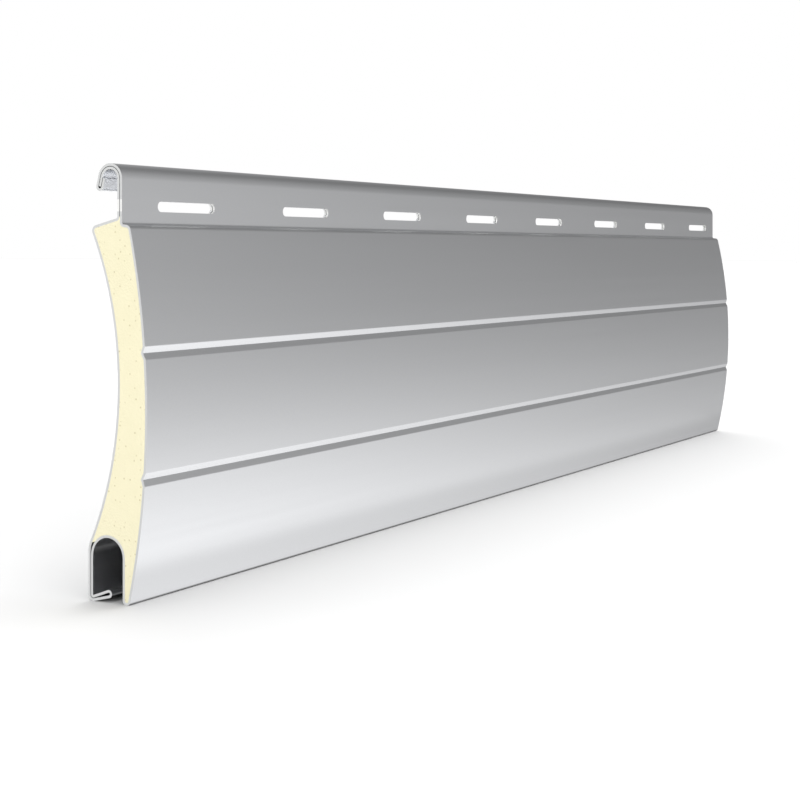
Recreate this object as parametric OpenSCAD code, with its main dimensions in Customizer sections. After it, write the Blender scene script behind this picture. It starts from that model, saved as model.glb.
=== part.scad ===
// Roller shutter slat: one strip of thin painted aluminium, roll formed round a
// core of rigid foam. The strip starts as the hem inside the hook, makes the hook,
// the slotted tongue, the grooved front, the lower edge, the bottom channel with its
// folded lip and the hollow back, and ends as the middle layer of the hook.
// The piece is cut square at both ends and stands on its lower edge and its lip.
//
// The section lies in the plane of the cut end, as [forward, up] from the front of
// the tongue and the floor. The strip is drawn as a belt that runs round a row of
// rolls [forward, up, radius]: a radius over zero bends the strip to the left of its
// run, one under zero bends it to the right, and straight runs join the rolls.

/* [Slat] */
// Length of the cut piece
slat_len = 213.5; // [80:0.5:400]
// Thickness of the aluminium sheet
skin_t = 0.32; // [0.25:0.01:0.4]
// Gap between two layers of sheet that are folded together
seam = 0.08; // [0.03:0.01:0.12]

/* [Front face] */
// Height of the step under the tongue, above the floor
face_h = 45.6; // [40:0.1:52]
// How far the bowed front stands ahead of the tongue
face_reach = 3.86; // [3.5:0.02:4.6]
// Radius of the bowed front
face_r = 98; // [85:1:160]
// Radius of the rounded edge between the step and the front
step_edge_r = 0.74; // [0.45:0.01:0.9]
// Radius in the corner between the tongue and the step
step_bend = 0.3; // [0.1:0.01:0.45]
// Drop of the step from the tongue to its rounded edge
step_fall = 0.04; // [0:0.01:0.2]
// Radius inside the narrow bend of the lower edge
edge_bend = 0.26; // [0.15:0.01:0.4]

/* [Front grooves] */
// Height of the lower groove
low_groove_z = 15.2; // [10:0.1:20]
// Height of the upper groove
high_groove_z = 30.3; // [25:0.1:36]
// Width of a groove
groove_w = 1.7; // [1.3:0.05:2.6]
// Depth of a groove
groove_depth = 0.33; // [0.15:0.01:0.5]
// Radius inside the bends of a groove
groove_bend = 0.05; // [0.02:0.01:0.12]

/* [Hollow back] */
// Thickness of the slat at its waist
waist = 4.44; // [3.8:0.02:5.4]
// Height of the waist
waist_z = 26.3; // [23:0.1:29]
// Radius of the upper back corner
corner_r = 0.7; // [0.5:0.02:1.2]
// Drop of the sloping shoulder from the tongue to the back corner
shoulder_drop = 1.66; // [1.2:0.02:2.4]
// Height of the shoulder's upper bend above the step
shoulder_rise = 0.94; // [0.8:0.02:1.4]
// Radius in the corner between the shoulder and the tongue
shoulder_bend = 0.2; // [0.1:0.02:0.4]

/* [Tongue and hook] */
// Height of the tongue with its hook, above the step
tongue_h = 7.4; // [6.4:0.1:10]
// Outer radius of the hook
hook_r = 1.87; // [1.5:0.01:2.3]
// Outward lean of the hook's leg
hook_lean = 14; // [0:1:22]
// Straight length of the hook's leg
hook_leg = 1.24; // [1:0.02:1.8]
// Height of the hem that is folded up inside the hook
hem_len = 1.1; // [0.6:0.02:1.3]

/* [Light slots] */
// Length of a slot
slot_len = 11.6; // [6:0.1:18]
// Height of a slot
slot_h = 1.3; // [0.8:0.02:1.9]
// Distance between the middles of two slots
slot_pitch = 27.2; // [22:0.1:40]
// Distance from the near end to the middle of the first slot
slot_first = 12.55; // [10:0.05:24]
// Height of the slots' middle above the step
slot_rise = 2.3; // [2:0.02:2.8]

/* [Bottom channel] */
// Clear width of the channel
channel_w = 4.66; // [4.2:0.02:5.4]
// Height of the channel's roof above the floor
channel_h = 7.85; // [7:0.05:9]
// How much higher the outer layer of the rear leg stays upright
leg_extra = 0.4; // [0.1:0.05:0.8]
// Depth of the lip from the rear of the slat
lip_reach = 3.7; // [3:0.05:4.2]
// Height of the middle of the lip's fold
lip_lift = 1.1; // [0.85:0.01:1.3]
// Radius inside the lip's fold
lip_fold = 0.17; // [0.1:0.01:0.25]
// Radius in the corner between the channel wall and the lip
lip_bend = 0.06; // [0.03:0.01:0.15]

/* [Hidden] */

// Finest turn and longest chord along a bend
bend_step = 10;
chord = 1.2;
// Room for rounding when a turn is worked out
turn_slack = 5;
// Sides of a round slot end, and run of a cutter past the sheet
slot_sides = 48;
cut_run = 0.5;

half_t = skin_t / 2;
// Step from one folded layer to the next
layer = skin_t + seam;

// Bowed front
front_mid = [face_reach - face_r, face_h / 2];
function front_at(r, z) = front_mid[0] + sqrt(pow(r, 2) - pow(z - front_mid[1], 2));
front_roll = [front_mid[0], front_mid[1], half_t - face_r];

// Tongue and hook, with a middle of the hook's arch that both layers share
hook_mid = [-hook_r, face_h + tongue_h - hook_r];
arch_out = hook_r - half_t;
arch_in = arch_out - layer;
leg_down = [-sin(hook_lean), -cos(hook_lean)];
leg_in = [cos(hook_lean), -sin(hook_lean)];
hook_tip = hook_mid - leg_in * arch_in + leg_down * hook_leg;
hem_end = hook_tip + leg_in * layer - leg_down * hem_len;

// Step under the tongue
step_roll = [step_bend, face_h + step_bend, step_bend + half_t];
step_edge_z = face_h - step_fall - step_edge_r;
step_edge_roll = [front_at(face_r - step_edge_r, step_edge_z), step_edge_z, half_t - step_edge_r];

// Grooves, each with two rounded edges and a bottom, set square to the bowed front
function groove_roll(z, across, depth, r) =
    let (turn = asin((z - front_mid[1]) / face_r) + across * (groove_w / 2 / face_r) * 180 / PI)
    [
        front_mid[0] + (face_r - depth) * cos(turn),
        front_mid[1] + (face_r - depth) * sin(turn),
        r
    ];
function groove(z) = [
    groove_roll(z, 1, groove_bend + skin_t, -groove_bend - half_t),
    groove_roll(z, 0, groove_depth - groove_bend, groove_bend + half_t),
    groove_roll(z, -1, groove_bend + skin_t, -groove_bend - half_t)
];

// Lower edge and channel
edge_out = edge_bend + skin_t;
edge_roll = [front_at(face_r - edge_out, edge_out), edge_out, -edge_bend - half_t];
wall_front = edge_roll[0] - edge_out;
roof_r = channel_w / 2;
roof_mid = [wall_front - roof_r, channel_h - roof_r];
roof_roll = [roof_mid[0], roof_mid[1], roof_r + half_t];
rear_face = wall_front - channel_w - skin_t - layer;

// Lip, folded back on itself behind the channel's mouth
foot_r = lip_bend + half_t + layer;
foot_mid = [rear_face + half_t + foot_r, half_t + foot_r];
lip_in_roll = [foot_mid[0], foot_mid[1], lip_bend + half_t];
fold_roll = [rear_face + lip_reach - lip_fold - skin_t, lip_lift, -lip_fold - half_t];
foot_roll = [foot_mid[0], foot_mid[1], -foot_r];

// Hollow back, an arc from the rear leg's bend through the waist
leg_bend_r = roof_r + half_t + layer;
leg_roll = [rear_face + half_t + leg_bend_r, roof_mid[1] + leg_extra, -leg_bend_r];
waist_at = front_at(face_r, waist_z) - waist;
waist_run = [leg_roll[0] - waist_at, waist_z - leg_roll[1]];
leg_bend_out = leg_bend_r + half_t;
back_r = (waist_run * waist_run - pow(leg_bend_out, 2)) / 2 / (leg_bend_out - waist_run[0]);
back_roll = [waist_at - back_r, waist_z, back_r + half_t];
shoulder_z = face_h + shoulder_rise;
corner_z = shoulder_z - shoulder_drop;
corner_at = back_roll[0] + sqrt(pow(back_r + corner_r, 2) - pow(corner_z - waist_z, 2));
corner_roll = [corner_at, corner_z, half_t - corner_r];
shoulder_roll = [-skin_t - layer - shoulder_bend, shoulder_z, shoulder_bend + half_t];

// The whole strip, from the hem's edge to the edge that the hem holds
hook_rolls = [
    [hem_end[0], hem_end[1], 0],
    [hook_tip[0], hook_tip[1], -layer],
    [hook_mid[0], hook_mid[1], -arch_out]
];
front_rolls = concat(
    [step_roll, step_edge_roll, front_roll],
    groove(high_groove_z),
    [front_roll],
    groove(low_groove_z),
    [front_roll, edge_roll]
);
channel_rolls = [roof_roll, lip_in_roll, fold_roll, foot_roll, leg_roll];
back_rolls = [back_roll, corner_roll, shoulder_roll];
end_rolls = [
    [hook_mid[0], hook_mid[1], arch_in],
    [hook_tip[0], hook_tip[1], 0]
];
rolls = concat(hook_rolls, front_rolls, channel_rolls, back_rolls, end_rolls);
step_i = len(hook_rolls);
roof_i = step_i + len(front_rolls);
back_i = roof_i + len(channel_rolls);
end_i = back_i + len(back_rolls);
last = len(rolls) - 1;

// Direction of the straight run between two rolls, and the turn round one roll
function limit(x) = max(-1, min(1, x));
function run_dir(a, b) =
    let (v = [b[0] - a[0], b[1] - a[1]])
    atan2(v[1], v[0]) - asin(limit((b[2] - a[2]) / norm(v)));
function wrap(x) = x - 360 * floor(x / 360);
function turn_of(r, from, to) =
    r > 0 ? wrap(to - from + turn_slack) - turn_slack : turn_slack - wrap(from - to + turn_slack);
runs = [for (i = [0 : last - 1]) run_dir(rolls[i], rolls[i + 1])];

// Points round one roll, on the strip's middle or at a distance to the right of it
function bend(i, aside) =
    let (
        roll = rolls[i],
        from = runs[max(i - 1, 0)],
        turn = (i == 0 || i == last) ? 0 : turn_of(roll[2], from, runs[i]),
        fine = min(bend_step, chord / max(abs(roll[2]), half_t) * 180 / PI),
        steps = max(1, ceil(abs(turn) / fine)),
        r = roll[2] + aside
    )
    [
        for (k = [0 : turn == 0 ? 0 : steps])
            let (a = from + turn * k / steps)
            [roll[0] + r * sin(a), roll[1] - r * cos(a)]
    ];
function bends(first, end, aside) = [for (i = [first : end]) each bend(i, aside)];
function reversed(list) = [for (i = [len(list) - 1 : -1 : 0]) list[i]];

strip = concat(bends(0, last, half_t), reversed(bends(0, last, -half_t)));

// The foam fills the strip from the tongue's foot down to the lower edge, over the
// channel's roof, and back up from the point where the rear leg starts to bend
toe_z = bend(back_i, half_t)[0][1];
foam = concat(
    [[-skin_t, shoulder_z]],
    bends(step_i, roof_i - 1, half_t),
    [for (p = bend(roof_i, half_t)) if (p[0] > roof_mid[0] || p[1] > toe_z) p],
    bends(back_i, end_i - 1, half_t)
);

section_mid = (face_reach + rear_face) / 2;
slot_count = floor((slat_len - slot_first - slot_len / 2 - slot_h) / slot_pitch) + 1;

// Draws a section along the slat, with the front towards -Y
module along_slat(outline) {
    rotate([90, 0, -90])
        linear_extrude(slat_len, center = true)
            translate([-section_mid, 0])
                polygon(outline);
}

// Cutter for one slot, through both layers of the tongue
module light_slot() {
    depth = skin_t + layer + 2 * cut_run;
    flat_len = slot_len - slot_h;
    rotate([90, 0, 0])
        linear_extrude(depth, center = true) {
            square([flat_len, slot_h], center = true);
            for (side = [-1, 1])
                translate([side * flat_len / 2, 0])
                    circle(d = slot_h, $fn = slot_sides);
        }
}

module aluminium_skin() {
    tongue_mid = (skin_t + layer) / 2;
    color("#A9ABAA")
        difference() {
            along_slat(strip);
            for (i = [0 : slot_count - 1])
                translate([
                    slot_first + i * slot_pitch - slat_len / 2,
                    section_mid + tongue_mid,
                    face_h + slot_rise
                ])
                    light_slot();
        }
}

module foam_core() {
    color("#FCF6D6")
        along_slat(foam);
}

aluminium_skin();
foam_core();
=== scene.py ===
# %% [markdown]
# # A roller shutter slat, dressed for its picture
# The slat is one strip of painted aluminium, rolled to a hollow section and filled with rigid foam.
# The solids come from the part's own source, and this lesson adds what a camera sees on them: soft bends,
# paint, sawn ends, foam cells, and a plain white studio. Lengths are written in millimetres and go through
# `mm`, because Blender's own unit here is the metre, and `in_mm` turns them back for the printed lines.

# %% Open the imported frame
import math

import bmesh
import bpy
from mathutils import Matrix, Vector


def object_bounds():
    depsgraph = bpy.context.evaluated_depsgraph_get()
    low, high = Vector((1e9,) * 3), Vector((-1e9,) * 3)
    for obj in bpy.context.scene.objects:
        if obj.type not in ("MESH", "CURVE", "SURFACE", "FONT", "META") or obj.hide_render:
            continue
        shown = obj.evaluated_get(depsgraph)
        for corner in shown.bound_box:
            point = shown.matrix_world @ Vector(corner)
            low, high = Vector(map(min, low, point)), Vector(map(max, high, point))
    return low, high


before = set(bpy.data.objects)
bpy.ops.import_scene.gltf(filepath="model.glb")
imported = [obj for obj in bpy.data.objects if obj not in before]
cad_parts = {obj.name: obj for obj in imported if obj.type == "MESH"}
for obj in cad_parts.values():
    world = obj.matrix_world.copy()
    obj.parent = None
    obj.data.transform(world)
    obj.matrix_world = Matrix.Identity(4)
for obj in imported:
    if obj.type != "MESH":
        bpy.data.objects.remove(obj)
cad_low, cad_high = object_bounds()
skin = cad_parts["aluminium_skin"]
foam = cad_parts["foam_core"]


def mm(length):
    """Turns millimetres into metres."""
    return length / 1000


def in_mm(length):
    """Turns metres into millimetres, rounded for a printed line."""
    return round(1000 * length, 2)


for node in (skin, foam):
    print(node.name, "has", len(node.data.polygons), "triangles")
print("whole slat:", [in_mm(side) for side in cad_high - cad_low], "mm")

# %% [markdown]
# ## Bends that look rolled
# A roll former bends the strip in one smooth sweep, but the solid's bends are small flat facets, and its
# triangles are not even joined. Changing the mesh is not allowed, so modifiers do the work as it is drawn.
# A small node group joins the triangles and shades them smooth, and keeps an edge crisp where two faces
# meet at more than a set angle. Weighted normals then let the large faces win, so a wide flat face stays
# flat right up to the bend beside it.

# %% A helper that adds one node


def add(tree, kind, links=None, values=None, **settings):
    """Adds a node, sets its settings and input values, and links its inputs to nodes or to outputs."""
    node = tree.nodes.new(kind)
    for name, value in settings.items():
        setattr(node, name, value)
    named = {socket.name: socket for socket in node.inputs if socket.enabled}
    for key, value in (values or {}).items():
        socket = node.inputs[key] if isinstance(key, int) else named[key]
        socket.default_value = value
    for key, source in (links or {}).items():
        socket = node.inputs[key] if isinstance(key, int) else named[key]
        if isinstance(source, bpy.types.Node):
            source = next(output for output in source.outputs if output.enabled)
        tree.links.new(source, socket)
    return node


print("node helper ready")

# %% Smooth bends and crisp edges
crisp_angle = math.radians(28)
weld_reach = mm(0.002)
most_weight = 100

rolled = bpy.data.node_groups.new("rolled_bends", "GeometryNodeTree")
rolled.interface.new_socket("Geometry", in_out="INPUT", socket_type="NodeSocketGeometry")
rolled.interface.new_socket("Geometry", in_out="OUTPUT", socket_type="NodeSocketGeometry")
came = add(rolled, "NodeGroupInput")
joined = add(rolled, "GeometryNodeMergeByDistance", {"Geometry": came}, {"Distance": weld_reach})
smooth = add(rolled, "GeometryNodeSetShadeSmooth", {"Geometry": joined}, domain="FACE")
fold = add(rolled, "GeometryNodeInputMeshEdgeAngle").outputs["Unsigned Angle"]
sharp = add(rolled, "FunctionNodeCompare", {"A": fold}, {"B": crisp_angle}, operation="GREATER_THAN")
kept = {"Geometry": smooth, "Selection": sharp}
crisp = add(rolled, "GeometryNodeSetShadeSmooth", kept, {"Shade Smooth": False}, domain="EDGE")
add(rolled, "NodeGroupOutput", {"Geometry": crisp})

for node in (skin, foam):
    node.modifiers.new("rolled_bends", "NODES").node_group = rolled
    flat_wins = node.modifiers.new("flat_faces_win", "WEIGHTED_NORMAL")
    flat_wins.mode = "FACE_AREA"
    flat_wins.weight = most_weight
    flat_wins.keep_sharp = True
print("edges stay crisp above", round(math.degrees(crisp_angle)), "degrees")

# %% [markdown]
# ## Camera
# The slat's long edges run to one vanishing point in the picture and its upright edges stay parallel, so
# the camera was level and the frame was shifted down. A camera tipped down would make the uprights lean
# together. From those lines come the direction, the lens and the shift, and the place follows from the
# height of the near end in the picture.

# %% Camera
view_angle = math.radians(30.234)
looking = Vector((math.cos(view_angle), math.sin(view_angle), 0))
camera_place = Vector((mm(-252.5), mm(-124.2), mm(42.28)))
film_width = 36
lens_length = 70.65
frame_shift = -0.18475
nearest_seen = mm(5)
farthest_seen = 50

camera = bpy.data.objects.new("camera", bpy.data.cameras.new("camera"))
bpy.context.scene.collection.objects.link(camera)
camera.location = camera_place
camera.rotation_euler = looking.to_track_quat("-Z", "Y").to_euler()
camera.data.sensor_width = film_width
camera.data.lens = lens_length
camera.data.shift_y = frame_shift
camera.data.clip_start = nearest_seen
camera.data.clip_end = farthest_seen
bpy.context.scene.camera = camera
print("camera looks along", [round(axis, 3) for axis in looking], "with a lens of", lens_length)

# %% [markdown]
# ## Floor
# The slat stands on a white sweep, lit until it blends with the background, and a soft shadow hugs its foot.
# One large plane does for that. Satin paint would mirror the whole plane and lose the slow change of tone on
# its face, so reflections don't see the floor. A small glowing card takes its place for them: its glow is a
# painted reflection of the lit floor in front of the foot, less towards the far end, with a painted shadow
# where the slat stands. That gives the dark line along the lower edge and the darkness inside the channel.
# A little painted light is left under the channel's open mouth, and it draws the pale streaks on the lip's
# bend and on the channel's roof.

# %% Colours and the floor


def srgb(code):
    """Turns an sRGB hex code into the linear colour that a shader takes."""
    parts = [int(code[i : i + 2], 16) / 255 for i in (1, 3, 5)]
    return [p / 12.92 if p <= 0.04045 else ((p + 0.055) / 1.055) ** 2.4 for p in parts] + [1]


def level_card(name, low, high, material):
    """Makes a level card between two corners."""
    shape = bmesh.new()
    bmesh.ops.create_grid(shape, x_segments=1, y_segments=1, size=0.5)
    bmesh.ops.scale(shape, verts=shape.verts, vec=high - low + Vector((0, 0, 1)))
    bmesh.ops.translate(shape, verts=shape.verts, vec=(low + high) / 2)
    mesh = bpy.data.meshes.new(name)
    shape.to_mesh(mesh)
    shape.free()
    mesh.materials.append(material)
    card = bpy.data.objects.new(name, mesh)
    bpy.context.scene.collection.objects.link(card)
    return card


# uncoated paper has no sheen, so the eye sees only the light and the shadow on it
white_paper = bpy.data.materials.new("matt_white_paper")
white_paper.use_nodes = True
paper_shader = white_paper.node_tree.nodes["Principled BSDF"]
paper_shader.inputs["Base Color"].default_value = srgb("#C9C9C9")
paper_shader.inputs["Roughness"].default_value = 0.95
paper_shader.inputs["Specular IOR Level"].default_value = 0.0

floor_half = 6.0
floor_corner = Vector((floor_half, floor_half, 0))
floor = level_card("floor", -floor_corner, floor_corner, white_paper)
floor.visible_glossy = False
print("floor of", 2 * floor_half, "m, which reflections don't see")

# %% How the card glows
near_glow = 1.04
far_glow = 0.57

# painted shadow and light: no light is left under the slat, and a little in the open mouth between the lip
# and the front
foot_start = mm(-2.3)
foot_end = mm(-1.5)
mouth_middle = mm(-0.65)
mouth_half = mm(0.65)
mouth_share = 0.25

glow_card = bpy.data.materials.new("glowing_painted_floor_reflection")
glow_card.use_nodes = True
fade = glow_card.node_tree
card_place = add(fade, "ShaderNodeTexCoord").outputs["Object"]
card_axes = add(fade, "ShaderNodeSeparateXYZ", {0: card_place}).outputs
length = {"From Min": cad_low.x, "From Max": cad_high.x, "To Min": near_glow, "To Max": far_glow}
lit_floor = add(fade, "ShaderNodeMapRange", {"Value": card_axes["X"]}, length)
foot = {"From Min": foot_start, "From Max": foot_end, "To Min": 1.0, "To Max": 0.0}
inward = {"Value": card_axes["Y"]}
painted_foot_shadow = add(fade, "ShaderNodeMapRange", inward, foot, interpolation_type="SMOOTHSTEP")
mouth = {1: mouth_middle, 2: mouth_half}
in_mouth = add(fade, "ShaderNodeMath", {0: card_axes["Y"]}, mouth, operation="COMPARE")
let_in = {1: mouth_share}
share = add(fade, "ShaderNodeMath", {0: in_mouth, 2: painted_foot_shadow}, let_in, operation="MULTIPLY_ADD")
glow = add(fade, "ShaderNodeMath", {0: lit_floor, 1: share}, operation="MULTIPLY")
print("card glows from", near_glow, "at the near end to", far_glow, "at the far end")

# %% A card that only reflections see
card_front = mm(-9.0)
card_back = mm(5.0)
card_past_end = mm(12)
card_low = Vector((cad_low.x, card_front, 0))
card_high = Vector((cad_high.x + card_past_end, card_back, 0))

# the eye never sees this card itself, only its glow in the paint: a painted reflection of the floor with a
# painted shadow under the slat
glow_shader = fade.nodes["Principled BSDF"]
glow_shader.inputs["Base Color"].default_value = srgb("#000000")
glow_shader.inputs["Specular IOR Level"].default_value = 0.0
glow_shader.inputs["Emission Color"].default_value = srgb("#FFFFFF")
fade.links.new(glow.outputs[0], glow_shader.inputs["Emission Strength"])

bounce_card = level_card("bounce_card", card_low, card_high, glow_card)
bounce_card.visible_camera = False
bounce_card.visible_diffuse = False
bounce_card.visible_shadow = False
print("bounce card of", [in_mm(side) for side in (card_high - card_low).xy], "mm")

# %% [markdown]
# ## Light
# The shadow is deepest at the foot and short on every side, so one wide lamp stands high beyond the far end
# and a weaker one in front fills in. They light the floor and the foam.
# The paint shows no hard highlight: its face is darkest along the top and brightest near the lower edge at
# the near end, so it mirrors large soft patches. Lamps with a size and a place would show their edges, but
# patches painted on the world have neither, and a direction folded at the slat's own plane gives the back
# the same light. A white wall behind also sends light into the hook, where it bounces several times, so
# from there the world gives more to light that has bounced more. The camera itself sees plain white around.

# %% Two soft lamps


def heading(turn, height):
    """Gives the direction at a turn round the slat and a height above the level, both in degrees."""
    level = math.cos(math.radians(height))
    along = level * math.cos(math.radians(turn))
    aside = level * math.sin(math.radians(turn))
    return Vector((along, aside, math.sin(math.radians(height))))


# each lamp: turn round the slat, height above the level, strength
lamps = {"beyond_far_end": (4, 61, 3.2), "in_front": (-125, 38, 1.38)}
lamp_width = math.radians(60)
for name, (turn, height, strength) in lamps.items():
    lamp = bpy.data.objects.new(name, bpy.data.lights.new(name, "SUN"))
    bpy.context.scene.collection.objects.link(lamp)
    lamp.rotation_euler = heading(turn, height).to_track_quat("Z", "Y").to_euler()
    lamp.data.energy = strength
    lamp.data.angle = lamp_width
    lamp.visible_glossy = False
    lamp.visible_camera = False
print(len(lamps), "lamps, each", round(math.degrees(lamp_width)), "degrees wide")

# %% Soft patches all round
world = bpy.data.worlds.new("studio")
bpy.context.scene.world = world
world.use_nodes = True
sky = world.node_tree
sky.nodes.clear()

toward = add(sky, "ShaderNodeTexCoord").outputs["Generated"]
sky_axes = add(sky, "ShaderNodeSeparateXYZ", {0: toward}).outputs
off_plane = add(sky, "ShaderNodeMath", {0: sky_axes["Y"]}, operation="ABSOLUTE")
front = add(sky, "ShaderNodeMath", {0: off_plane}, {1: -1.0}, operation="MULTIPLY")
folded = add(sky, "ShaderNodeCombineXYZ", {"X": sky_axes["X"], "Y": front, "Z": sky_axes["Z"]})

# each patch: turn round the slat, height above the level, strength, tightness
patches = {
    "low in front": (-39.3, -23.0, 1.12, 25.0),
    "by the camera": (-101.8, 12.5, 1.16, 1.81),
    "below the far end": (2.1, -51.7, 2.2, 9.81),
    "at the sawn end": (180.0, 14.0, 0.68, 3.0),
}
total = None
for turn, height, strength, tight in patches.values():
    middle = heading(turn, height)
    near = add(sky, "ShaderNodeVectorMath", {0: folded}, {1: middle}, operation="DOT_PRODUCT")
    fall = {1: tight, 2: math.log(strength) - tight}
    power = add(sky, "ShaderNodeMath", {0: near}, fall, operation="MULTIPLY_ADD")
    patch = add(sky, "ShaderNodeMath", {0: power}, operation="EXPONENT")
    total = patch if total is None else add(sky, "ShaderNodeMath", {0: total, 1: patch})
print("surroundings of", len(patches), "soft patches")

# %% The white wall behind
wall_light = 3.2

# how far a direction points to the back where the wall begins, and where it is at its brightest
wall_edge = -0.1
wall_full = 0.3

# the ray depth is one more than the bounces, so this is almost nothing after two and all of it after four
depth_start = 2.7
depth_full = 4.7

path = add(sky, "ShaderNodeLightPath").outputs
deep = {"From Min": depth_start, "From Max": depth_full, "To Max": wall_light}
bounced = {"Value": path["Ray Depth"]}
lift = add(sky, "ShaderNodeMapRange", bounced, deep, interpolation_type="SMOOTHSTEP")
rear = {"From Min": wall_edge, "From Max": wall_full}
behind = add(sky, "ShaderNodeMapRange", {"Value": sky_axes["Y"]}, rear)
from_wall = add(sky, "ShaderNodeMath", {0: lift, 1: behind}, operation="MULTIPLY")
lit = add(sky, "ShaderNodeMath", {0: total, 1: from_wall})
print("wall behind gives up to", wall_light, "inside the hook")

# %% Plain white for the camera
bpy.context.scene.view_settings.view_transform = "Standard"
around = add(sky, "ShaderNodeBackground", {"Strength": lit}, {"Color": srgb("#FFFFFF")})
plain = add(sky, "ShaderNodeBackground", {}, {"Color": srgb("#FFFFFF")})
chosen = add(sky, "ShaderNodeMixShader", {0: path["Is Camera Ray"], 1: around, 2: plain})
add(sky, "ShaderNodeOutputWorld", {"Surface": chosen})
print("the world has", len(sky.nodes), "nodes")

# %% [markdown]
# ## Paint on the strip
# The strip is coil coated: silver paint with fine metal flakes is stoved on before rolling, so the finish
# runs unbroken round every bend. The eye sees a satin sheen with no grain, a slight orange peel, and a few
# faint lines that the rollers left along the slat. The saw and the slot punch go through the paint, so the
# cut faces show bare metal. Two materials would need the mesh's faces sorted, so one material does both,
# with a mask from the direction a face looks in.

# %% Patterns in the paint
paint = bpy.data.materials.new("coil_coated_aluminium")
paint.use_nodes = True
coat = paint.node_tree
place = add(coat, "ShaderNodeTexCoord").outputs["Object"]

# real flakes are a few hundredths of a millimetre, too fine to show, so they are drawn coarser
flake_size = mm(0.22)
peel_size = mm(1.3)
line_gap = mm(0.9)
line_length = mm(70.0)
fine = {"Scale": 1 / flake_size, "Detail": 1.0, "Roughness": 0.6}
flakes = add(coat, "ShaderNodeTexNoise", {"Vector": place}, fine)
wavy = {"Scale": 1 / peel_size, "Detail": 2.0, "Roughness": 0.45}
peel = add(coat, "ShaderNodeTexNoise", {"Vector": place}, wavy)
drawn_out = {"Scale": (1 / line_length, 1 / line_gap, 1 / line_gap)}
drawn = add(coat, "ShaderNodeMapping", {"Vector": place}, drawn_out)
lines = add(coat, "ShaderNodeTexNoise", {"Vector": drawn}, {"Scale": 1.0, "Detail": 2.0})
print("paint: flakes", in_mm(flake_size), "mm, orange peel", in_mm(peel_size), "mm")
print("roller lines", in_mm(line_gap), "mm apart and", in_mm(line_length), "mm long")

# %% Where the metal is bare
facing = add(coat, "ShaderNodeTexCoord").outputs["Normal"]
looks = add(coat, "ShaderNodeSeparateXYZ", {0: facing}).outputs
where = add(coat, "ShaderNodeSeparateXYZ", {0: place}).outputs

# a sawn face looks along the slat
along_least = 0.8
endwise = add(coat, "ShaderNodeMath", {0: looks["X"]}, operation="ABSOLUTE")
sawn = add(coat, "ShaderNodeMath", {0: endwise}, {1: along_least}, operation="GREATER_THAN")

# a slot's wall looks neither to the front nor to the back, and lies at the height of the slots
sideways_most = 0.5
slot_middle = mm(47.9)
slot_height = mm(1.3)
slot_reach = 0.56 * slot_height
sideways = add(coat, "ShaderNodeMath", {0: looks["Y"]}, operation="ABSOLUTE")
wall = add(coat, "ShaderNodeMath", {0: sideways}, {1: sideways_most}, operation="LESS_THAN")
band = {1: slot_middle, 2: slot_reach}
at_slots = add(coat, "ShaderNodeMath", {0: where["Z"]}, band, operation="COMPARE")
punched = add(coat, "ShaderNodeMath", {0: wall, 1: at_slots}, operation="MULTIPLY")
bare = add(coat, "ShaderNodeMath", {0: sawn, 1: punched}, operation="MAXIMUM")
print("bare metal on the sawn ends and in slots", in_mm(slot_height), "mm high")

# %% Tones and sheen of the paint and of the bare metal
# the saw leaves fine upright scores, which break up the shine of a cut face
score_gap = mm(0.12)
score_length = 12 * score_gap
across = {"Scale": (1.0, 1 / score_gap, 1 / score_length)}
scored = add(coat, "ShaderNodeMapping", {"Vector": place}, across)
scores = add(coat, "ShaderNodeTexNoise", {"Vector": scored}, {"Scale": 1.0, "Detail": 3.0})

silver = {"A": srgb("#DADBDD"), "B": srgb("#DEDFE1")}
paint_tone = add(coat, "ShaderNodeMix", {"Factor": flakes}, silver, data_type="RGBA")
cut_metal = {"A": srgb("#D2D3D3"), "B": srgb("#E8E9E8")}
sawn_tone = add(coat, "ShaderNodeMix", {"Factor": scores}, cut_metal, data_type="RGBA")
sheared = {"B": srgb("#FAFAF8")}
metal_tone = add(coat, "ShaderNodeMix", {"Factor": punched, "A": sawn_tone}, sheared, data_type="RGBA")
tone = add(coat, "ShaderNodeMix", {"Factor": bare, "A": paint_tone, "B": metal_tone}, data_type="RGBA")

satin_range = {"To Min": 0.30, "To Max": 0.36}
satin = add(coat, "ShaderNodeMapRange", {"Value": lines}, satin_range)
cut_range = {"To Min": 0.38, "To Max": 0.58}
cut_sheen = add(coat, "ShaderNodeMapRange", {"Value": scores}, cut_range)
sheen = add(coat, "ShaderNodeMix", {"Factor": bare, "A": satin, "B": cut_sheen}, data_type="FLOAT")
print("scores", in_mm(score_gap), "mm apart on the cut faces")

# %% Paint shader
peel_depth = mm(0.0012)
peel_strength = 0.5
relief = add(coat, "ShaderNodeMix", {"Factor": bare, "A": peel, "B": scores}, data_type="FLOAT")
shallow = {"Strength": peel_strength, "Distance": peel_depth}
bump = add(coat, "ShaderNodeBump", {"Height": relief}, shallow)
coat_shader = coat.nodes["Principled BSDF"]
coat_shader.inputs["Metallic"].default_value = 1.0
coat.links.new(tone.outputs[2], coat_shader.inputs["Base Color"])
coat.links.new(sheen.outputs[0], coat_shader.inputs["Roughness"])
coat.links.new(bump.outputs[0], coat_shader.inputs["Normal"])
skin.data.materials.clear()
skin.data.materials.append(paint)
print(paint.name, "on", skin.name)

# %% [markdown]
# ## Foam in the hollow
# The hollow is filled with a polyurethane foam that sets hard, and the saw opens it at both ends. Its cells
# are a few tenths of a millimetre, too fine to make out one by one, so the face looks like pale cream card
# with a faint tooth. Here and there a larger cell is open and shows as a small pit. Its grey is painted
# shade in the hollow of the cell. Modelled cells would cost a great many faces for little to see, so a
# pattern of cells makes both the pits' relief and their painted shade.

# %% Cells and open pits
cream = bpy.data.materials.new("sawn_polyurethane_foam")
cream.use_nodes = True
cells = cream.node_tree
spot = add(cells, "ShaderNodeTexCoord").outputs["Object"]
axes = add(cells, "ShaderNodeSeparateXYZ", {0: spot}).outputs

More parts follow.
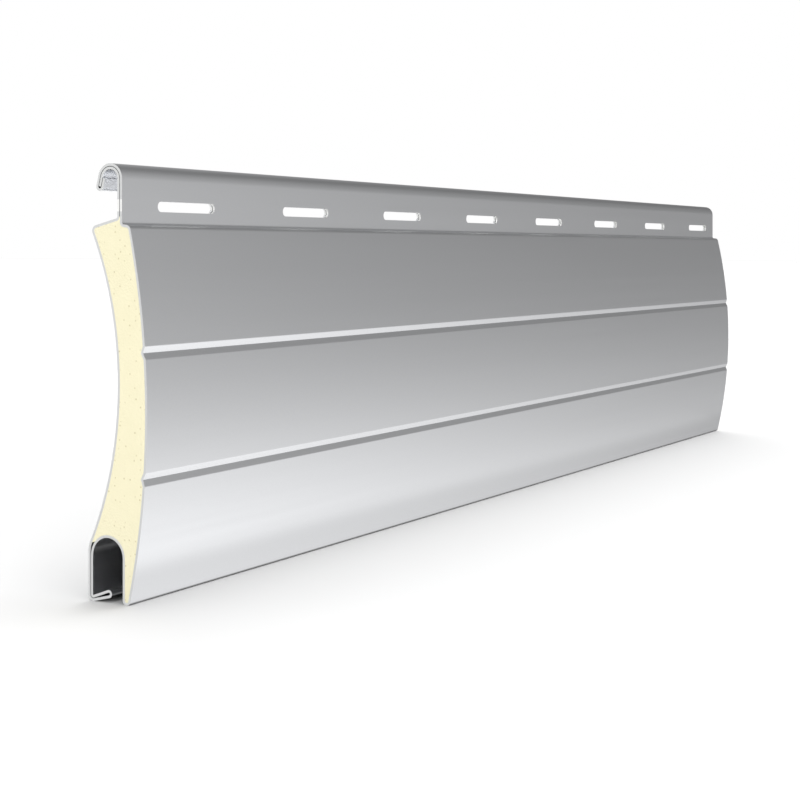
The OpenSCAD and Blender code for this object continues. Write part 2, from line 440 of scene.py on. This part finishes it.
# the pattern slides sideways along the slat, so its two ends show different cells
slide = {1: 0.37}
shifted = add(cells, "ShaderNodeMath", {0: axes["X"], 2: axes["Y"]}, slide, operation="MULTIPLY_ADD")
sheet = add(cells, "ShaderNodeCombineXYZ", {"X": shifted, "Y": axes["Z"]})

cell_size = mm(0.30)
pit_gap = mm(0.80)
pit_radius = mm(0.090)
pit_share = 0.42
small = {"Scale": 1 / cell_size, "Randomness": 1.0}
foam_cells = add(cells, "ShaderNodeTexVoronoi", {"Vector": sheet}, small, voronoi_dimensions="2D")
wide = {"Scale": 1 / pit_gap, "Randomness": 1.0}
pits = add(cells, "ShaderNodeTexVoronoi", {"Vector": sheet}, wide, voronoi_dimensions="2D")
chance = add(cells, "ShaderNodeSeparateColor", {0: pits.outputs["Color"]}).outputs
open_cell = add(cells, "ShaderNodeMath", {0: chance[0]}, {1: pit_share}, operation="LESS_THAN")
print("foam: cells of", in_mm(cell_size), "mm, open pits of", in_mm(2 * pit_radius), "mm")

# %% Soft rims of the pits, whose grey is painted shade
rim = pit_radius / pit_gap
dark_within = 0.4 * rim
pale_beyond = 1.7 * rim
edge = {"From Min": dark_within, "From Max": pale_beyond, "To Min": 1.0, "To Max": 0.0}
hole = add(cells, "ShaderNodeMapRange", {"Value": pits.outputs["Distance"]}, edge)
torn = add(cells, "ShaderNodeMath", {0: hole, 1: open_cell}, operation="MULTIPLY")
pit_depth_and_shade = add(cells, "ShaderNodeMath", {0: torn, 1: chance[1]}, operation="MULTIPLY")
print("a share of", pit_share, "of the larger cells is open")

# %% Foam shader
cloud_size = mm(2.5)
tooth_depth = mm(0.05)
tooth_strength = 0.4
cloud = add(cells, "ShaderNodeTexNoise", {"Vector": spot}, {"Scale": 1 / cloud_size, "Detail": 3.0})
pale = {"A": srgb("#E2DCBC"), "B": srgb("#E6E0C2")}
body = add(cells, "ShaderNodeMix", {"Factor": cloud}, pale, data_type="RGBA")
# the grey of an open pit is painted shade in its hollow; the bump below gives its real relief
pit_painted_shade = {"B": srgb("#BFB590")}
foam_tone_with_pit_shade = add(cells, "ShaderNodeMix", {"Factor": pit_depth_and_shade, "A": body}, pit_painted_shade, data_type="RGBA")
depth = add(cells, "ShaderNodeMath", {0: foam_cells, 1: pit_depth_and_shade}, operation="SUBTRACT")
rough_cut = {"Strength": tooth_strength, "Distance": tooth_depth}
tooth = add(cells, "ShaderNodeBump", {"Height": depth}, rough_cut)
dull_range = {"To Min": 0.82, "To Max": 0.95}
dull = add(cells, "ShaderNodeMapRange", {"Value": cloud}, dull_range)
foam_shader = cells.nodes["Principled BSDF"]
foam_shader.inputs["Specular IOR Level"].default_value = 0.25
cells.links.new(foam_tone_with_pit_shade.outputs[2], foam_shader.inputs["Base Color"])
cells.links.new(dull.outputs[0], foam_shader.inputs["Roughness"])
cells.links.new(tooth.outputs[0], foam_shader.inputs["Normal"])
foam.data.materials.clear()
foam.data.materials.append(cream)
print(cream.name, "on", foam.name)
